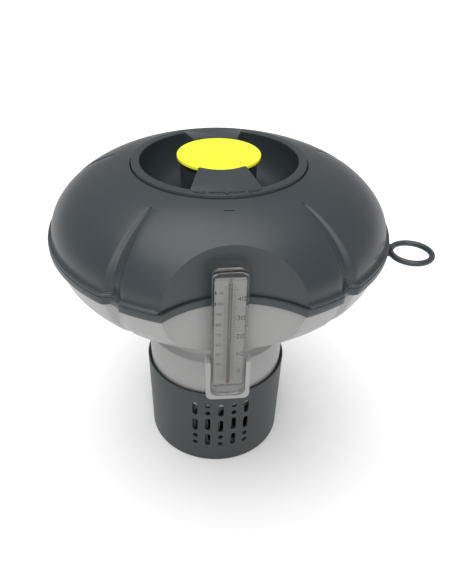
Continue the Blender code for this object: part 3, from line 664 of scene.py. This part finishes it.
def lid_body():
    edge = LID_R
    ring = [(edge, -5.1), (edge, 1.3), (edge - 0.08, 1.5), (edge - 0.3, 1.62), (edge - 0.6, 1.65),
            (45.2, 1.65), (44.9, 1.58), (44.72, 1.4), (44.65, 1.0)]
    well = []
    for k in range(1, 25):
        a = math.pi / 2 * k / 24
        well.append((44.6 - 14.6 * (1 - math.cos(a)), 1.0 - 21.3 * math.sin(a)))
    well += [(27.0, -20.35), (22.6, -20.35), (21.9, -20.2), (21.7, -19.5)]
    hub = [(21.7, -0.9), (21.6, -0.65), (21.3, -0.6), (19.9, -0.6), (19.9, -21.8)]
    under = [(31.8, -21.8), (37.6, -18.9), (41.7, -13.9), (44.6, -8.4), (45.2, -6.4), (46.6, -5.1)]
    lid = turned("twist_lid", ring + well + hub + under)
    for turn in (0.0, 180.0):
        corners = []
        for r, half, top in BRIDGE_ENDS:
            corners += [(-half, -r, -21.0), (half, -r, -21.0), (half, -r, top), (-half, -r, top)]
        bm = bmesh.new()
        verts = [bm.verts.new((x * MM, y * MM, SEAM + z * MM)) for x, y, z in corners]
        for face in ((0, 1, 2, 3), (7, 6, 5, 4), (0, 4, 5, 1), (1, 5, 6, 2), (2, 6, 7, 3), (3, 7, 4, 0)):
            bm.faces.new([verts[i] for i in face])
        bridge = clean(object_from(bm, "bridge"))
        bridge.data.transform(Matrix.Rotation(math.radians(turn), 4, "Z"))
        envelope = turned("envelope", [
            (0.0, -21.5), (31.4, -21.5), (37.2, -18.4), (41.2, -13.4), (44.1, -8.2), (46.6, -4.6),
            (46.6, 8.0), (0.0, 8.0)])
        bridge = combine(bridge, envelope, "INTERSECT")
        lid = combine(lid, bridge, "UNION")
    lid = combine(lid, rod("recess", BUTTON_R + GAP, -0.55, 9))
    lid = soften(lid, 0.28, 45.0)
    place(lid, "lid", LID_DARK, "anthracite_plastic", "lid_body")
    marks = lid_marks()
    marks.name = "lid_pointer_marks"
    # The marks take the near-black colour: painted shade.
    place(clean(marks), "lid", PAINTED_SHADE_MARKS, "dark_collar_plastic")


def under_lid():
    plate = turned("bayonet_plate", rounded([
        (38.0, -22.1), (38.0, -24.0), (0.0, -24.0), (0.0, -17.0), (5.8, -17.0), (5.8, -22.1)], 0.4))
    for angle in (0.0, 120.0, 240.0):
        lug = prism("lug", rounded_rectangle(15 * MM, 10 * MM, 1.5 * MM, (0, -39.3 * MM)),
                    SEAM - 24.0 * MM + 0.01 * MM, SEAM - 22.1 * MM - 0.01 * MM)
        lug.data.transform(Matrix.Rotation(math.radians(angle), 4, "Z"))
        plate = combine(plate, lug, "UNION")
    place(plate, "lid", COLLAR_DARK, "dark_collar_plastic", "lid_underplate")
    for number in range(1, 5):
        low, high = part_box(f"lid_screw_{number}")
        centre = ((low.x + high.x) / 2, (low.y + high.y) / 2)
        screw = turned(f"screw_{number}", rounded([
            (0.0, -11.0), (0.9, -11.0), (1.4, -12.5), (1.4, -24.3), (3.2, -24.3), (3.2, -25.3),
            (2.2, -25.9), (0.0, -25.9)], 0.3), centre, 32)
        for turn in (0.0, 90.0):
            bit = rounded_rectangle(3.2 * MM, 0.7 * MM, 0.2 * MM)
            cut = prism("drive", bit, SEAM - 27 * MM, SEAM - 25.1 * MM)
            cut.data.transform(Matrix.Rotation(math.radians(turn), 4, "Z"))
            cut.data.transform(Matrix.Translation((centre[0], centre[1], 0)))
            screw = combine(screw, cut)
        place(screw, "lid", STEEL, "stainless_steel", f"lid_screw_{number}")


def button():
    cap = turned("push_button", [
        (0.0, 4.3), (BUTTON_R - 0.75, 4.3), (BUTTON_R - 0.35, 4.22), (BUTTON_R - 0.1, 4.0), (BUTTON_R, 3.7),
        (BUTTON_R, 2.5), (BUTTON_R - 0.2, 2.3), (0.0, 2.3)], facets=192)
    place(cap, "button", YELLOW, "yellow_plastic", "button_cap")
    plunger = turned("button_cup", rounded([
        (0.0, 2.0), (19.6, 2.0), (19.6, -11.0), (17.8, -11.0), (17.8, -0.3), (0.0, -0.3)], 0.5))
    place(plunger, "button", COLLAR_DARK, "dark_collar_plastic", "button_plunger")
    low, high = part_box("button_spring")
    curve = bpy.data.curves.new("coil_spring", "CURVE")
    curve.dimensions = "3D"
    curve.bevel_depth = 0.68 * MM
    curve.bevel_resolution = 4
    curve.use_fill_caps = True
    spline = curve.splines.new("POLY")
    turns, per_turn = 4, 36
    spline.points.add(turns * per_turn)
    first, last = low.z + 0.7 * MM, high.z - 0.7 * MM
    for i, point in enumerate(spline.points):
        turn = i / per_turn
        share = min(1.0, max(0.0, (turn - 0.6) / (turns - 1.2)))
        at = polar(7.95, 360 * turn)
        point.co = (at.x, at.y, first + (last - first) * share, 1.0)
    spring = bpy.data.objects.new("coil_spring", mesh_of(curve))
    bpy.context.scene.collection.objects.link(spring)
    place(spring, "lid", STEEL, "stainless_steel", "button_spring")
    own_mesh(spring)


# --- thermometer and tether -----------------------------------------------------------------
def lettering(text, x, z, size):
    """Flat numeral on the scale card, centred on a point."""
    curve = bpy.data.curves.new("numeral", "FONT")
    curve.body = text
    curve.size = size * MM
    curve.extrude = 0.03 * MM
    curve.align_x = "CENTER"
    curve.align_y = "CENTER"
    curve.resolution_u = 3
    mesh = mesh_of(curve)
    mesh.transform(Matrix.Rotation(math.radians(90), 4, "X"))
    mesh.transform(Matrix.Translation((x, CARD_LOW.y - 0.03 * MM, z)))
    return mesh


def tick(x0, x1, z, thick=0.16):
    bm = bmesh.new()
    bmesh.ops.create_cube(bm, size=1.0)
    bm.transform(Matrix.Diagonal((abs(x1 - x0), 0.06 * MM, thick * MM, 1.0)))
    bm.transform(Matrix.Translation(((x0 + x1) / 2, CARD_LOW.y - 0.03 * MM, z)))
    mesh = bpy.data.meshes.new("tick")
    bm.to_mesh(mesh)
    bm.free()
    return mesh


def merged(name, meshes):
    bm = bmesh.new()
    for mesh in meshes:
        bm.from_mesh(mesh)
        bpy.data.meshes.remove(mesh)
    return object_from(bm, name)


def scale_card():
    middle = (CARD_LOW.x + CARD_HIGH.x) / 2
    centre = (middle, (CARD_HIGH.y + CARD_LOW.y) / 2)
    outline = rounded_rectangle(CARD_HIGH.x - CARD_LOW.x, CARD_HIGH.y - CARD_LOW.y, 0.25 * MM, centre, 3)
    card = prism("scale_card_plate", outline, CARD_LOW.z, CARD_HIGH.z)
    place(card, "thermometer", CARD, "scale_card_plastic", "scale_card")
    bottom, top = SEAM + SCALE_ZERO * MM, SEAM + SCALE_FORTY * MM
    degree_rise = (top - bottom) / 40
    marks = []
    for degree in range(-4, 48):
        z = bottom + degree_rise * degree
        reach = (3.6 if degree % 5 == 0 else 2.7) * MM
        marks.append(tick(middle + 1.5 * MM, middle + reach, z))
    for fahrenheit in range(26, 118, 2):
        z = bottom + degree_rise * (fahrenheit - 32) / 1.8
        reach = (3.6 if fahrenheit % 10 == 0 else 2.7) * MM
        marks.append(tick(middle - reach, middle - 1.5 * MM, z))
    for degree in range(0, 41, 10):
        marks.append(lettering(str(degree), middle + 5.4 * MM, bottom + degree_rise * degree, 4.0))
    for fahrenheit in range(40, 111, 10):
        z = bottom + degree_rise * (fahrenheit - 32) / 1.8
        marks.append(lettering(str(fahrenheit), middle - 5.3 * MM, z, 2.7))
    place(merged("scale_printing", marks), "thermometer", INK, "scale_card_plastic")


def front_prism(name, outline, front, back):
    """Prism over an outline of (x, z) seen from the front, between two values of y; all in metres."""
    obj = prism(name, outline, -back, -front)
    obj.data.transform(Matrix.Rotation(math.radians(90), 4, "X"))
    return clean(obj)


def cup_outline(middle, width, bottom, top, radius, steps=10):
    """Outline seen from the front: flat on top, with rounded corners at the bottom."""
    half = width / 2
    outline = [(middle - half, top), (middle + half, top)]
    for side, start in ((1, 0.0), (-1, 90.0)):
        for i in range(steps + 1):
            a = math.radians(start + side * 90.0 * i / steps)
            outline.append((middle + side * (half - radius + radius * math.cos(a)),
                            bottom + radius - radius * math.sin(a)))
    return outline


def thermometer():
    middle, depth_at = (TUBE_LOW.x + TUBE_HIGH.x) / 2, (TUBE_LOW.y + TUBE_HIGH.y) / 2
    centre = (middle, depth_at)
    width, depth = TUBE_HIGH.x - TUBE_LOW.x, TUBE_HIGH.y - TUBE_LOW.y
    half, shoulder, slope = width / 2, CASE_SHOULDER * MM, CASE_SLOPE * MM
    outline = [(middle - half, PLUG_HIGH.z - slope), (middle - half + shoulder, PLUG_HIGH.z),
               (middle + half - shoulder, PLUG_HIGH.z), (middle + half, PLUG_HIGH.z - slope)]
    outline += cup_outline(middle, width, PLUG_LOW.z, PLUG_LOW.z + 6 * MM, CASE_CORNER * MM)[2:]
    case = front_prism("clear_case", outline, TUBE_LOW.y, TUBE_HIGH.y)
    slit_low = PLUG_LOW.z + 1.5 * MM
    slit = front_prism("slit", cup_outline(middle, 8.4 * MM, slit_low, slit_low + 0.6 * MM, 0.25 * MM),
                       TUBE_LOW.y - 1 * MM, TUBE_LOW.y + 0.8 * MM)
    case = soften(combine(case, slit), 0.9, 25, 4)
    inner = rounded_rectangle(width - 2.4 * MM, depth - 1.8 * MM, 0.8 * MM, centre)
    case = combine(case, prism("hollow", inner, TUBE_LOW.z + 1 * MM, TUBE_HIGH.z - 1 * MM))
    place(case, "thermometer", CLEAR, "clear_plastic", "thermometer_tube", "thermometer_bottom_plug",
          "thermometer_top_plug")
    low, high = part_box("capillary")
    axis = ((low.x + high.x) / 2, (low.y + high.y) / 2)
    z0, z1 = (low.z - SEAM) / MM, (high.z - SEAM) / MM
    glass = turned("glass_stem", [
        (1.0, z0), (1.0, z1 - 1.0), (0.85, z1 - 0.4), (0.5, z1 - 0.05), (0.0, z1), (0.0, z1 - 1.2),
        (0.53, z1 - 1.8), (0.53, z0)], axis, 40)
    place(glass, "thermometer", GLASS, "thermometer_glass", "capillary")
    low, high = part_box("liquid_column")
    z0, z1 = (low.z - SEAM) / MM, (high.z - SEAM) / MM
    liquid = turned("liquid", [
        (0.0, z0), (0.5, z0 + 0.1), (0.85, z0 + 0.5), (0.98, z0 + 1.2), (0.85, z0 + 2.0), (0.55, z0 + 2.6),
        (0.35, z0 + 3.2), (0.35, z1 - 0.2), (0.25, z1), (0.0, z1)], axis, 32)
    place(liquid, "thermometer", LIQUID, "red_liquid", "liquid_column")


def bracket():
    middle = (BRACKET_LOW.x + BRACKET_HIGH.x) / 2
    half, tongue, shoulder = (BRACKET_HIGH.x - BRACKET_LOW.x) / 2, 8.5 * MM, SEAM + BRACKET_SHOULDER * MM
    outline = [(middle - half, shoulder), (middle - tongue, shoulder), (middle - tongue, BRACKET_HIGH.z),
               (middle + tongue, BRACKET_HIGH.z), (middle + tongue, shoulder), (middle + half, shoulder)]
    outline += cup_outline(middle, 2 * half, BRACKET_LOW.z, shoulder, HOLSTER_CORNER * MM)[2:]
    holster = front_prism("thermometer_holster", outline, BRACKET_LOW.y, BRACKET_HIGH.y)
    width = TUBE_HIGH.x - TUBE_LOW.x + 2 * GAP * MM
    low, high = PLUG_LOW.z - GAP * MM, BRACKET_HIGH.z + 5 * MM
    pocket = cup_outline(middle, width, low, high, POCKET_CORNER * MM)
    cut = front_prism("pocket", pocket, BRACKET_LOW.y - 5 * MM, TUBE_HIGH.y + GAP * MM)
    holster = combine(holster, cut)
    place(soften(holster, 0.45), "float", GREY, "light_grey_plastic", "thermometer_bracket")


def tether_ring():
    height = (RING_LOW.z + RING_HIGH.z) / 2
    bpy.ops.mesh.primitive_torus_add(major_segments=120, minor_segments=28, major_radius=RING_R * MM,
                                     minor_radius=(RING_HIGH.z - RING_LOW.z) / 2)
    ring = bpy.context.object
    ring.name = "cord_ring"
    at = polar(RING_CENTRE, RING_AZ)
    ring.data.transform(Matrix.Translation((at.x, at.y, height)))
    outline = rounded_rectangle(3.8 * MM, 8 * MM, 0.1 * MM)
    gap = prism("gap", outline, SEAM - 50 * MM, SEAM - 38 * MM)
    gap.data.transform(Matrix.Translation((0, -LUG_OUT * MM, 0)))
    gap.data.transform(Matrix.Rotation(math.radians(RING_AZ), 4, "Z"))
    ring = combine(ring, gap)
    place(ring, "float", ANTHRACITE, "anthracite_plastic", "tether_ring")


# --- stage ----------------------------------------------------------------------------------
def stage():
    bpy.ops.mesh.primitive_plane_add(size=8.0, location=(0, 0, -0.0004))
    floor = bpy.context.object
    floor.name = "studio_floor"
    mat = bpy.data.materials.new("pale_floor")
    mat.use_nodes = True
    shader = mat.node_tree.nodes["Principled BSDF"]
    shader.inputs["Base Color"].default_value = (0.95, 0.95, 0.95, 1.0)
    shader.inputs["Roughness"].default_value = 0.9
    floor.data.materials.append(mat)
    world = bpy.data.worlds.new("studio")
    bpy.context.scene.world = world
    world.use_nodes = True
    sky = world.node_tree.nodes["Background"]
    sky.inputs["Color"].default_value = (1.0, 1.0, 1.0, 1.0)
    sky.inputs["Strength"].default_value = 0.44
    bpy.context.scene.view_settings.view_transform = "Standard"
    for name, energy, spread, towards in (("key", 2.1, 60, (0.12, 0.02, -1.0)),
                                          ("fill", 1.2, 45, (0.08, 0.80, -0.62))):
        light = bpy.data.lights.new(name, "SUN")
        light.energy = energy
        light.angle = math.radians(spread)
        lamp = bpy.data.objects.new(name, light)
        bpy.context.scene.collection.objects.link(lamp)
        lamp.rotation_euler = Vector(towards).to_track_quat("-Z", "Y").to_euler()


def camera():
    """Seen from a little to the left, 34 degrees down, with the lens axis off the frame's middle."""
    data = bpy.data.cameras.new("camera")
    data.sensor_fit = "AUTO"
    data.sensor_width = 36.0
    data.lens = 36.53
    data.shift_x = 0.0429
    data.shift_y = -0.0192
    data.clip_start = 0.01
    cam = bpy.data.objects.new("camera", data)
    bpy.context.scene.collection.objects.link(cam)
    cam.location = (-0.03034, -0.3142, SEAM + 0.1292)
    cam.rotation_euler = (math.radians(90 - 33.79), 0.0, math.radians(-3.7))
    bpy.context.scene.camera = cam


camera()
stage()
upper_shell()
rim_band()
lower_shell()
dosing_collar()
slotted_basket()
base_cap()
tablet_chamber()
seals()
lid_body()
under_lid()
button()
thermometer()
scale_card()
bracket()
tether_ring()
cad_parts["shell_seal"].data.materials.clear()
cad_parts["shell_seal"].data.materials.append(RUBBER)
bpy.context.view_layer.update()


def corners(box):
    return [list(corner) for corner in box]
